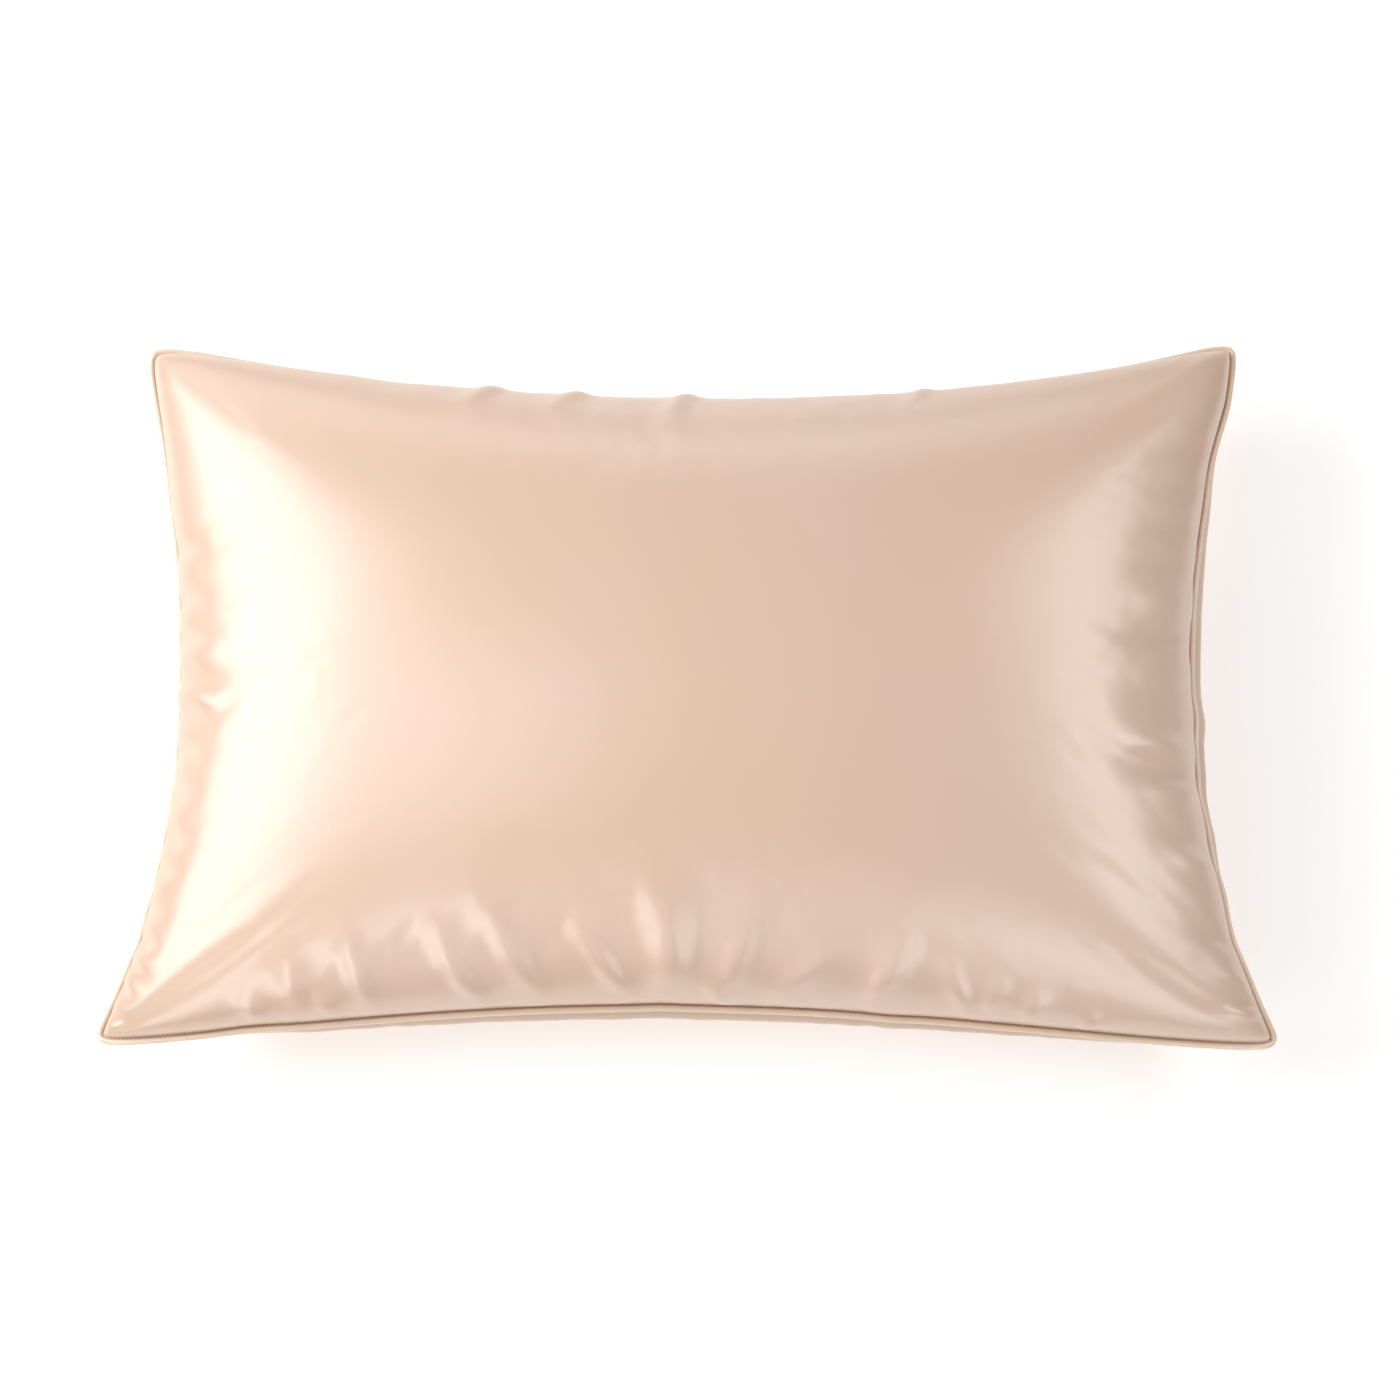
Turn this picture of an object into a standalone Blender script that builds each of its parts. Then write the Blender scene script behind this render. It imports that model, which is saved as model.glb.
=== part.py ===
"""A piped satin pillowcase, filled, lying on its back with its plump front upwards.

Frame: +X runs along the long side, +Y towards the head edge, +Z out of the front face.
The origin lies under the middle of the case, on the flat spot on which the rear panel rests.
Metres.

The two panels share one rule. A point of a panel has two angles, each from -90 to 90 degrees
from the middle line to a seam: their sines place it across the case, and their cosines give
its height off the seam. Folds and waves then move it along the panel's own normal.
"""

import math
from collections import namedtuple

import bpy
import numpy as np

# Sizes of the filled case. The cloth was cut 0.762 x 0.508 and drew in as it was filled.
WIDTH = 0.716  # corner to corner along X
HEIGHT = 0.462  # corner to corner along Y
FRONT_CROWN = 0.088  # front panel above the seam, at the middle
REST_DEPTH = 0.076  # flat spot below the seam
REAR_CROWN = 0.095  # rear panel below the seam, if nothing under it flattened it
FLAT_BLEND = 0.010  # height over which the rear panel curves into its flat spot
FLAT_LIMIT = 0.00015  # what lies lower than this belongs to the flat spot
CROWN_POWER = 0.86  # under 1 makes the crown flatter and its sides fuller
CORNER_DROOP = 0.010  # how far the corners hang below the middle of the seam
CORNER_FADE = 1.3  # power by which the panels' swelling past the seam fades towards the corners

PIPING_DIAMETER = 0.0042
PIPING_GAP = 0.0005  # between the piping and the seam it is sewn into
PIPING_STEP = 0.0100  # most between two points of the piping's line
PIPING_TURN = 0.25  # radians, most that the line turns between two points
PIPING_RING = 1  # bevel resolution, which gives a six-sided tube

GRID_X = 168  # cells across the case before thinning
GRID_Y = 120
SHELL_TRIANGLES = 8800  # what is left of the panels' triangles after thinning

# The four sides. draw_in: how far the middle of the side is pulled in. fullness: power that
# keeps the draw-in away from the corners. skew: moves its deepest point along the side.
# lift: seam above the mean seam plane. front and rear: how far each panel swells past the seam.
Side = namedtuple("Side", "draw_in fullness skew lift front rear")
SIDES = {
    "right": Side(0.0460, 1.00, -0.02, 0.008, 0.0040, 0.0150),
    "left": Side(0.0315, 1.13, -0.11, -0.004, 0.0080, 0.0120),
    "head": Side(0.0415, 1.00, -0.02, -0.006, 0.0040, 0.0100),
    "foot": Side(0.0280, 1.28, -0.02, 0.006, 0.0040, 0.0083),
}
SWELL_ANGLE = 0.20  # radians off the seam at which a panel swells most

# The four corners. flare_x and flare_y: how far one pokes out past the sides' own curves.
# cut: how far its rounding takes it back in along each side.
Corner = namedtuple("Corner", "right head flare_x flare_y cut")
CORNERS = (
    Corner(-1, -1, 0.0105, -0.0045, 0.0022),
    Corner(1, -1, 0.0035, -0.0105, 0.0022),
    Corner(-1, 1, 0.0070, -0.0020, 0.0065),
    Corner(1, 1, -0.0025, 0.0105, 0.0065),
)
FLARE_REACH = 7.0  # power that keeps a flare to its corner

# Main folds of the front panel. A fold runs from its outer end, near its side's seam, to its
# inner end. along: metres along the side from its middle. depth: metres in from the seam.
# bow: how far its middle strays from the straight line, to the left of the way in on the foot
# and right sides, to its right on the others. width: half its breadth. height: of its ridge,
# or its trough if negative.
Fold = namedtuple("Fold", "side outer_along outer_depth inner_along inner_depth bow width height")
FOLDS = (
    Fold("foot", -0.228, 0.018, -0.291, 0.092, -0.005, 0.0075, 0.0028),
    Fold("foot", -0.190, 0.014, -0.234, 0.048, 0.000, 0.0065, 0.0022),
    Fold("foot", -0.178, 0.010, -0.233, 0.092, -0.002, 0.0075, 0.0032),
    Fold("foot", -0.104, 0.008, -0.174, 0.088, 0.002, 0.0070, 0.0028),
    Fold("foot", -0.072, 0.022, -0.162, 0.110, 0.000, 0.0085, 0.0034),
    Fold("foot", -0.022, 0.008, -0.092, 0.085, -0.005, 0.0075, 0.0032),
    Fold("foot", -0.016, 0.022, -0.043, 0.105, -0.018, 0.0120, 0.0042),
    Fold("foot", 0.010, 0.010, 0.058, 0.088, 0.006, 0.0080, 0.0028),
    Fold("foot", 0.020, 0.010, 0.094, 0.044, 0.001, 0.0070, 0.0022),
    Fold("foot", 0.088, 0.008, 0.150, 0.080, 0.003, 0.0075, 0.0032),
    Fold("foot", 0.176, 0.014, 0.214, 0.055, -0.002, 0.0075, 0.0020),
    Fold("left", 0.100, 0.006, 0.065, 0.058, 0.000, 0.0075, -0.0022),
    Fold("left", 0.050, 0.006, 0.016, 0.060, 0.000, 0.0070, -0.0024),
    Fold("left", 0.022, 0.006, -0.012, 0.068, 0.000, 0.0070, 0.0024),
    Fold("left", -0.002, 0.006, -0.030, 0.072, 0.000, 0.0070, -0.0026),
    Fold("left", -0.096, 0.006, -0.134, 0.060, 0.000, 0.0070, -0.0024),
    Fold("left", -0.170, 0.003, -0.194, 0.044, 0.000, 0.0055, -0.0028),
    Fold("left", -0.189, 0.006, -0.207, 0.036, 0.000, 0.0050, -0.0024),
    Fold("right", 0.132, 0.008, 0.125, 0.086, 0.000, 0.0090, 0.0018),
    Fold("right", 0.094, 0.008, 0.085, 0.084, 0.000, 0.0085, -0.0020),
    Fold("right", 0.031, 0.008, 0.018, 0.088, 0.000, 0.0080, -0.0026),
    Fold("right", -0.040, 0.008, -0.045, 0.080, 0.000, 0.0085, -0.0022),
    Fold("right", -0.088, 0.008, -0.063, 0.084, 0.000, 0.0080, 0.0028),
    Fold("right", -0.130, 0.008, -0.111, 0.068, 0.000, 0.0070, 0.0022),
    Fold("right", -0.203, 0.006, -0.196, 0.055, 0.000, 0.0055, -0.0026),
    Fold("head", -0.115, 0.005, -0.160, 0.055, 0.000, 0.0080, 0.0020),
    Fold("head", -0.045, 0.020, -0.106, 0.050, 0.000, 0.0070, 0.0022),
    Fold("head", 0.020, 0.015, -0.028, 0.060, 0.000, 0.0080, 0.0022),
    Fold("head", 0.152, 0.005, 0.132, 0.052, 0.000, 0.0080, 0.0018),
)
FOLD_PEAK = 0.3  # share of a fold's length from its outer end at which it stands highest
FOLD_SPREAD = 0.8  # how much wider a fold is at its inner end, in widths

SATIN_COLOUR = (0.74, 0.52, 0.38, 1.0)
PIPING_COLOUR = (0.78, 0.56, 0.41, 1.0)
SATIN_ROUGHNESS = 0.35

QUARTER = math.pi / 2.0
SEAM_SAMPLES = 800  # points on each side of the seam's own line
NORMAL_STEP = 0.004  # radians, for the panels' normals


def flattened(height):
    """Heights over the floor, with what would lie under it pressed flat and a rounded change."""
    free = np.clip(0.5 + 0.5 * height / FLAT_BLEND, 0.0, 1.0)
    return height * free + FLAT_BLEND * free * (1.0 - free)


def smooth(share):
    """Soft step from 0 to 1 as share goes from 0 to 1."""
    held = np.clip(share, 0.0, 1.0)
    return held * held * (3.0 - 2.0 * held)


def side_form(side, position):
    """Share of a side's draw-in at a position from -1 to 1 along it: 0 at the corners."""
    shifted = position - side.skew * (1.0 - position**2)
    return np.clip(1.0 - shifted**2, 0.0, 1.0) ** side.fullness


def swell(angle_off_seam):
    """Bump from 0 at the seam to 1 at SWELL_ANGLE, then dying away into the crown.

    It starts without a slope, so that a panel leaves its seam steeply, beside the piping."""
    share = angle_off_seam / SWELL_ANGLE
    return share**2 * np.exp(2.0 - 2.0 * share)


def plain_panel(across, up, front):
    """Points of a panel without folds, from its two angles. front is 1, or -1 for the rear."""
    u, v = np.sin(across), np.sin(up)
    cu, cv = np.clip(np.cos(across), 0.0, 1.0), np.clip(np.cos(up), 0.0, 1.0)
    right, left = (1.0 + u) / 2.0, (1.0 - u) / 2.0
    head, foot = (1.0 + v) / 2.0, (1.0 - v) / 2.0

    x, y = u * WIDTH / 2.0, v * HEIGHT / 2.0
    for corner in CORNERS:
        near_x, near_y = (1.0 + corner.right * u) / 2.0, (1.0 + corner.head * v) / 2.0
        flare = (near_x * near_y) ** FLARE_REACH
        cut = near_x ** (WIDTH / (2 * corner.cut)) * near_y ** (HEIGHT / (2 * corner.cut)) * corner.cut
        x = x + corner.right * (flare * corner.flare_x - cut)
        y = y + corner.head * (flare * corner.flare_y - cut)
    for name, axis, sign, share, own, other_cos, position in (
        ("right", 0, 1, right, across, cv, v),
        ("left", 0, -1, left, -across, cv, v),
        ("head", 1, 1, head, up, cu, u),
        ("foot", 1, -1, foot, -up, cu, u),
    ):
        side = SIDES[name]
        push = side.front if front > 0 else side.rear
        move = push * swell(QUARTER - own) * other_cos**CORNER_FADE
        move = move - side.draw_in * side_form(side, position) * share
        if axis == 0:
            x = x + sign * move
        else:
            y = y + sign * move

    edge_lift = (
        SIDES["right"].lift * right**2 * cv
        + SIDES["left"].lift * left**2 * cv
        + SIDES["head"].lift * head**2 * cu
        + SIDES["foot"].lift * foot**2 * cu
    )
    seam_height = REST_DEPTH + edge_lift - CORNER_DROOP * (u * v) ** 2
    fullness = (cu * cv) ** CROWN_POWER
    if front > 0:
        z = seam_height + FRONT_CROWN * fullness
    else:
        z = flattened(seam_height - REAR_CROWN * fullness)
    return np.stack([x, y, z], axis=-1)


def panel_normals(across, up, front):
    """Unit normals of the plain panel, from small steps of its two angles."""
    inner, step = QUARTER - 2 * NORMAL_STEP, NORMAL_STEP
    a, b = np.clip(across, -inner, inner), np.clip(up, -inner, inner)
    along_x = plain_panel(a + step, b, front) - plain_panel(a - step, b, front)
    along_y = plain_panel(a, b + step, front) - plain_panel(a, b - step, front)
    normals = np.cross(along_x, along_y) * front
    return normals / np.linalg.norm(normals, axis=-1, keepdims=True)


def seam_distance(angle_off_seam, half_size):
    """Straight distance from the seam to a point of the panel that many radians off it."""
    rise = FRONT_CROWN * np.sin(angle_off_seam)
    run = half_size * (1.0 - np.cos(angle_off_seam))
    return np.hypot(rise, run)


def fold_relief(across, up):
    """How far the main folds raise the front panel."""
    x, y = np.sin(across) * WIDTH / 2.0, np.sin(up) * HEIGHT / 2.0
    frames = {
        "right": (y, seam_distance(QUARTER - across, WIDTH / 2)),
        "left": (y, seam_distance(QUARTER + across, WIDTH / 2)),
        "head": (x, seam_distance(QUARTER - up, HEIGHT / 2)),
        "foot": (x, seam_distance(QUARTER + up, HEIGHT / 2)),
    }
    relief = np.zeros_like(x)
    for fold in FOLDS:
        along, depth = frames[fold.side]
        run_along, run_in = fold.inner_along - fold.outer_along, fold.inner_depth - fold.outer_depth
        length = math.hypot(run_along, run_in)
        way_along, way_in = run_along / length, run_in / length
        out_along, out_in = along - fold.outer_along, depth - fold.outer_depth
        share = np.clip((out_along * way_along + out_in * way_in) / length, 0.0, 1.0)
        off = out_in * way_along - out_along * way_in - fold.bow * 4.0 * share * (1.0 - share)
        width = fold.width * (1.0 + FOLD_SPREAD * share)
        lengthways = smooth(share / FOLD_PEAK) * smooth((1.0 - share) / (1.0 - FOLD_PEAK))
        relief += fold.height * lengthways * np.exp(-((off / width) ** 2))
    return relief


def panel(across, up, front):
    """Points of a finished panel."""
    points = plain_panel(across, up, front)
    if front > 0:
        points = points + panel_normals(across, up, front) * fold_relief(across, up)[..., None]
    return points


def satin(name, colour):
    """A smooth satin material."""
    material = bpy.data.materials.new(name)
    material.use_nodes = True
    shader = material.node_tree.nodes["Principled BSDF"]
    shader.inputs["Base Color"].default_value = colour
    shader.inputs["Roughness"].default_value = SATIN_ROUGHNESS
    shader.inputs["Metallic"].default_value = 0.0
    return material


def closed_panels():
    """Vertices and faces of the front and rear panels, joined along their seam."""
    across, up = np.meshgrid(
        np.linspace(-QUARTER, QUARTER, GRID_X + 1),
        np.linspace(-QUARTER, QUARTER, GRID_Y + 1),
        indexing="ij",
    )
    front, rear = panel(across, up, 1), panel(across, up, -1)
    size = (GRID_X + 1, GRID_Y + 1)
    front_index = np.arange(size[0] * size[1]).reshape(size)
    inside = np.zeros(size, bool)
    inside[1:-1, 1:-1] = True
    rear_index = front_index.copy()
    rear_index[inside] = front_index.size + np.arange(inside.sum())
    vertices = np.concatenate([front.reshape(-1, 3), rear[inside]])
    # A cell's diagonal points away from the middle, so that no triangle lies in the seam alone.
    column, row = np.meshgrid(np.arange(GRID_X), np.arange(GRID_Y), indexing="ij")
    rising = ((2 * column < GRID_X) == (2 * row < GRID_Y))[..., None]
    faces = []
    for index, turned in ((front_index, False), (rear_index, True)):
        a, b, c, d = index[:-1, :-1], index[1:, :-1], index[1:, 1:], index[:-1, 1:]
        first = np.where(rising, np.stack([a, b, c], axis=-1), np.stack([a, b, d], axis=-1))
        second = np.where(rising, np.stack([a, c, d], axis=-1), np.stack([b, c, d], axis=-1))
        triangles = np.concatenate([first.reshape(-1, 3), second.reshape(-1, 3)])
        faces.append(triangles[:, ::-1] if turned else triangles)
    return vertices, np.concatenate(faces)


def thinned(shell, triangles):
    """The shell's mesh with only that many triangles, dense where it bends, and its flat spot flat."""
    thin = shell.modifiers.new("thin", "DECIMATE")
    thin.ratio = triangles / len(shell.data.polygons)
    mesh = bpy.data.meshes.new_from_object(shell.evaluated_get(bpy.context.evaluated_depsgraph_get()))
    shell.modifiers.remove(thin)
    for vertex in mesh.vertices:
        if vertex.co.z < FLAT_LIMIT:
            vertex.co.z = 0.0
    return mesh


def build_case(middle):
    """The filled case: both satin panels and what fills them, as one solid, around its middle."""
    vertices, faces = closed_panels()
    mesh = bpy.data.meshes.new("case")
    mesh.from_pydata((vertices - middle).tolist(), [], faces.tolist())
    case = bpy.data.objects.new("case", mesh)
    bpy.context.scene.collection.objects.link(case)
    case.data = thinned(case, SHELL_TRIANGLES)
    case.data.shade_smooth()
    case.data.materials.append(satin("satin", SATIN_COLOUR))


def seam_line():
    """Points of the seam, counter-clockwise from the foot's left corner, finest at the corners."""
    ramp = np.linspace(-QUARTER, QUARTER, SEAM_SAMPLES + 1)[:-1]
    side = np.full_like(ramp, QUARTER)
    across = np.concatenate([ramp, side, -ramp, -side])
    up = np.concatenate([-side, ramp, side, -ramp])
    return plain_panel(across, up, 1)


def piping_line():
    """Middle line of the piping, just outside the seam, with its points closest where it turns."""
    line = seam_line()
    tangent = np.roll(line, -1, axis=0) - np.roll(line, 1, axis=0)
    outward = np.stack([tangent[:, 1], -tangent[:, 0], np.zeros(len(line))], axis=-1)
    outward /= np.linalg.norm(outward, axis=1, keepdims=True)
    centre = line + outward * (PIPING_DIAMETER / 2 + PIPING_GAP)
    closed = np.concatenate([centre, centre[:1]])
    heading = np.unwrap(np.arctan2(outward[:, 1], outward[:, 0]))
    turn = np.abs(np.diff(np.append(heading, heading[0] + 2 * math.pi)))
    length = np.linalg.norm(np.diff(closed, axis=0), axis=1)
    measure = np.concatenate([[0.0], np.cumsum(length / PIPING_STEP + turn / PIPING_TURN)])
    even = np.linspace(0.0, measure[-1], math.ceil(measure[-1]) + 1)[:-1]
    return np.stack([np.interp(even, measure, closed[:, axis]) for axis in range(3)], axis=-1)


def build_piping(line):
    """The piping: a cord in a satin strip, sewn into the seam all the way round."""
    curve = bpy.data.curves.new("piping", "CURVE")
    curve.dimensions = "3D"
    curve.bevel_depth = PIPING_DIAMETER / 2
    curve.bevel_resolution = PIPING_RING
    spline = curve.splines.new("POLY")
    spline.points.add(len(line) - 1)
    for point, place in zip(spline.points, line):
        point.co = (*place, 1.0)
    spline.use_cyclic_u = True
    piping = bpy.data.objects.new("piping", curve)
    bpy.context.scene.collection.objects.link(piping)
    piping.data.materials.append(satin("piping_satin", PIPING_COLOUR))


def main():
    for old in list(bpy.data.objects):
        bpy.data.objects.remove(old)
    line = piping_line()
    middle = (line.min(axis=0) + line.max(axis=0)) / 2 * (1, 1, 0)
    build_case(middle)
    build_piping(line - middle)


main()
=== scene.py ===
"""A piped satin pillowcase, filled, lying on its back: its finished cloth, piping and stitching.

Laid out as an add-on and run as a script. Metres; +X along the long side, +Y towards the head
edge, +Z out of the front panel. A point of a panel has two angles, each from -90 to 90 degrees
from the middle line to a seam: their sines place it across the case, and their cosines give its
height off the seam, as in the solid that the panels stand for.
"""

import math
from collections import namedtuple

import bpy
import numpy as np
from bpy.props import FloatProperty, FloatVectorProperty, IntProperty, PointerProperty
from mathutils import Matrix, Vector


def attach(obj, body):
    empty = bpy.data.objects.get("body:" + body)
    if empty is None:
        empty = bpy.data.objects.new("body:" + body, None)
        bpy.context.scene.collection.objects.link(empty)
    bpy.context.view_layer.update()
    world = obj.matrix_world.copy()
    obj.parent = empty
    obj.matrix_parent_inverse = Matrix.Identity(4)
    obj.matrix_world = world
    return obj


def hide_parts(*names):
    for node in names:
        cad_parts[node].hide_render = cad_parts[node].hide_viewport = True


bl_info = {
    "name": "Satin pillowcase",
    "version": (1, 0, 0),
    "blender": (4, 5, 0),
    "location": "View3D > Sidebar > Pillowcase",
    "description": "Builds a filled satin pillowcase with a piped edge, and a studio around it",
    "category": "Add Mesh",
}

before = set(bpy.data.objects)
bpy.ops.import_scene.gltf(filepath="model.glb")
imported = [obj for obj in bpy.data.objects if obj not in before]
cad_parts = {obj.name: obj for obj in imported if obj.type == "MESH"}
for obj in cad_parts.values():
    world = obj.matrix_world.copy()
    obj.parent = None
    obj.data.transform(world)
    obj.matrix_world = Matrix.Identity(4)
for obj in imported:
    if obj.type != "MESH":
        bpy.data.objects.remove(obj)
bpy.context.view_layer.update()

QUARTER = math.pi / 2.0

# -------- sizes of the case

# The four sides. draw_in: how far the middle of the side is pulled in. fullness: power that
# keeps the draw-in away from the corners. skew: moves its deepest point along the side.
# lift: seam above the mean seam plane. front and rear: how far each panel swells past the seam.
Side = namedtuple("Side", "draw_in fullness skew lift front rear")
SIDES = {
    "right": Side(0.0460, 1.00, -0.02, 0.008, 0.0010, 0.0172),
    "left": Side(0.0315, 1.13, -0.11, -0.004, 0.0040, 0.0120),
    "head": Side(0.0415, 1.00, -0.02, -0.006, 0.0040, 0.0100),
    "foot": Side(0.0280, 1.28, -0.02, 0.006, 0.0020, 0.0104),
}

# The four corners. flare_x and flare_y: how far one pokes out past the sides' own curves.
# cut: how far its rounding takes it back in along each side.
Corner = namedtuple("Corner", "right head flare_x flare_y cut")
CORNERS = (
    Corner(-1, -1, 0.0105, -0.0045, 0.0022),
    Corner(1, -1, 0.0035, -0.0105, 0.0022),
    Corner(-1, 1, 0.0070, -0.0020, 0.0065),
    Corner(1, 1, -0.0025, 0.0105, 0.0065),
)

# Small kinks of the seam. along: metres along the side from its middle. reach: half its breadth.
# out: how far it pushes the seam outwards.
Kink = namedtuple("Kink", "side along reach out")
KINKS = (
    Kink("right", 0.190, 0.015, 0.0012),
    Kink("right", 0.148, 0.018, -0.0012),
    Kink("right", -0.018, 0.012, 0.0018),
    Kink("right", -0.066, 0.011, -0.0012),
    Kink("right", -0.092, 0.010, 0.0006),
    Kink("right", -0.130, 0.012, 0.0013),
    Kink("right", -0.162, 0.012, -0.0013),
    Kink("left", 0.120, 0.020, 0.0007),
    Kink("left", 0.020, 0.016, 0.0007),
    Kink("left", -0.060, 0.014, -0.0007),
    Kink("left", -0.168, 0.010, -0.0010),
    Kink("foot", -0.270, 0.022, -0.0012),
    Kink("foot", -0.020, 0.018, -0.0006),
    Kink("foot", 0.120, 0.016, 0.0007),
    Kink("head", -0.200, 0.018, -0.0010),
    Kink("head", 0.140, 0.018, -0.0010),
)

# Folds of the front panel, by side. A fold runs from its outer end, near its side's seam, to its
# inner end. along: metres along the side from its middle. depth: metres in from the seam. width:
# half its breadth. height: of its ridge, or its trough if negative. bow: how far its middle
# strays from the straight line, to the left of the way in on the foot and right sides, to its
# right on the others.
Fold = namedtuple(
    "Fold", "outer_along outer_depth inner_along inner_depth width height bow", defaults=(0.0,)
)
FRONT_FOLDS = {
    "foot": (
        Fold(-0.259, 0.006, -0.280, 0.053, 0.0040, 0.0023),
        Fold(-0.237, 0.006, -0.296, 0.099, 0.0057, 0.0030, -0.015),
        Fold(-0.213, 0.006, -0.238, 0.051, 0.0035, 0.0019),
        Fold(-0.191, 0.006, -0.241, 0.111, 0.0049, 0.0032, -0.005),
        Fold(-0.120, 0.006, -0.178, 0.105, 0.0046, 0.0036, 0.002),
        Fold(-0.084, 0.006, -0.167, 0.129, 0.0065, 0.0040, -0.005),
        Fold(-0.032, 0.006, -0.094, 0.094, 0.0049, 0.0037, -0.005),
        Fold(-0.021, 0.006, -0.046, 0.125, 0.0092, 0.0050, -0.019),
        Fold(0.018, 0.006, 0.006, 0.051, 0.0035, 0.0022),
        Fold(0.016, 0.006, 0.054, 0.093, 0.0059, 0.0032, 0.007),
        Fold(0.041, 0.006, 0.115, 0.071, 0.0054, 0.0028, 0.007),
        Fold(0.102, 0.006, 0.158, 0.088, 0.0057, 0.0040, 0.006),
        Fold(0.171, 0.006, 0.156, 0.071, 0.0046, 0.0025),
        Fold(0.182, 0.006, 0.214, 0.056, 0.0046, 0.0023, 0.013),
        Fold(0.199, 0.006, 0.227, 0.047, 0.0043, 0.0032, 0.004),
        Fold(0.235, 0.006, 0.254, 0.034, 0.0038, 0.0025),
    ),
    "left": (
        Fold(0.087, 0.002, 0.080, 0.048, 0.0050, -0.0029),
        Fold(0.053, 0.002, 0.046, 0.048, 0.0050, -0.0029),
        Fold(0.027, 0.002, 0.021, 0.051, 0.0042, -0.0032),
        Fold(0.005, 0.002, -0.009, 0.066, 0.0052, -0.0040),
        Fold(-0.008, 0.002, -0.022, 0.061, 0.0028, 0.0025),
        Fold(-0.020, 0.002, -0.037, 0.056, 0.0042, -0.0040),
        Fold(-0.044, 0.002, -0.057, 0.047, 0.0050, -0.0029),
        Fold(-0.068, 0.002, -0.085, 0.048, 0.0055, -0.0025),
        Fold(-0.097, 0.002, -0.115, 0.047, 0.0042, -0.0034),
        Fold(-0.118, 0.002, -0.133, 0.045, 0.0036, -0.0029),
        Fold(-0.146, 0.002, -0.158, 0.044, 0.0050, -0.0023),
        Fold(-0.163, 0.002, -0.181, 0.039, 0.0032, -0.0036),
        Fold(-0.179, 0.002, -0.202, 0.044, 0.0028, -0.0025),
        Fold(-0.194, 0.002, -0.212, 0.034, 0.0026, -0.0023),
        Fold(-0.213, 0.002, -0.226, 0.043, 0.0026, -0.0022),
    ),
    "right": (
        Fold(0.155, 0.003, 0.149, 0.075, 0.0060, -0.0015),
        Fold(0.128, 0.003, 0.127, 0.078, 0.0060, -0.0018),
        Fold(0.100, 0.003, 0.099, 0.080, 0.0055, -0.0023),
        Fold(0.074, 0.003, 0.077, 0.084, 0.0060, -0.0018),
        Fold(0.053, 0.003, 0.050, 0.084, 0.0055, 0.0018),
        Fold(0.031, 0.003, 0.023, 0.081, 0.0045, -0.0030),
        Fold(-0.015, 0.003, -0.021, 0.090, 0.0070, -0.0027),
        Fold(-0.047, 0.003, -0.050, 0.121, 0.0045, 0.0030, -0.006),
        Fold(-0.060, 0.003, -0.061, 0.090, 0.0048, -0.0030),
        Fold(-0.071, 0.003, -0.073, 0.070, 0.0035, 0.0018),
        Fold(-0.102, 0.003, -0.101, 0.072, 0.0042, -0.0023),
        Fold(-0.120, 0.003, -0.114, 0.067, 0.0040, 0.0024),
        Fold(-0.168, 0.003, -0.159, 0.059, 0.0040, -0.0024),
        Fold(-0.194, 0.003, -0.185, 0.054, 0.0036, 0.0018),
        Fold(-0.205, 0.003, -0.207, 0.059, 0.0030, -0.0018),
        Fold(-0.211, 0.003, -0.215, 0.059, 0.0030, 0.0021),
    ),
    "head": (
        Fold(-0.123, 0.002, -0.160, 0.055, 0.0045, 0.0025),
        Fold(-0.066, 0.005, -0.105, 0.053, 0.0045, 0.0029),
        Fold(0.000, 0.002, -0.027, 0.060, 0.0045, 0.0028),
        Fold(0.151, 0.006, 0.133, 0.054, 0.0045, 0.0024),
    ),
}

SWELL_ANGLE = 0.20  # radians off the seam at which a panel swells most
CORNER_FADE = 1.3  # power by which the panels' swelling past the seam fades towards the corners
CORNER_DROOP = 0.010  # how far the corners hang below the middle of the seam
CROWN_POWER = 0.86  # under 1 makes the crown flatter and its sides fuller
CORNER_FULLNESS = 0.16  # how much less that power is at the corners, which are puffed up
FLARE_REACH = 7.0  # power that keeps a flare to its corner
KINK_REACH = 16  # power that keeps a kink to its side's seam
FLAT_BLEND = 0.010  # height over which the rear panel curves into its flat spot
FOLD_PEAK = 0.38  # share of a fold's length from its outer end at which it stands highest
FOLD_SPREAD = 1.2  # how much wider a fold is at its inner end, in widths
NORMAL_STEP = 0.004  # radians, for the panels' normals

SEAM_SAMPLES = 800  # points on each side of the seam's own line
SECTION_SAMPLES = 4001  # points along a panel's middle section, for even spacing
CELLS_X, CELLS_Y = 300, 204  # cells of a panel along and across
CELL_GATHER = 0.45  # how much smaller than the average the cells along the seam are, as a share
REAR_RIM = 12  # rows of fine cells along the seam of the rear panel, which is coarser inside


# -------- settings


def metres(name, description, default):
    return FloatProperty(name=name, description=description, default=default, unit="LENGTH")


def degrees(name, description, default):
    """An angle, given in degrees and kept in radians."""
    radians = math.radians(default)
    return FloatProperty(name=name, description=description, default=radians, unit="ROTATION")


def tint(name, description, default):
    return FloatVectorProperty(name=name, description=description, default=default, subtype="COLOR")


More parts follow.
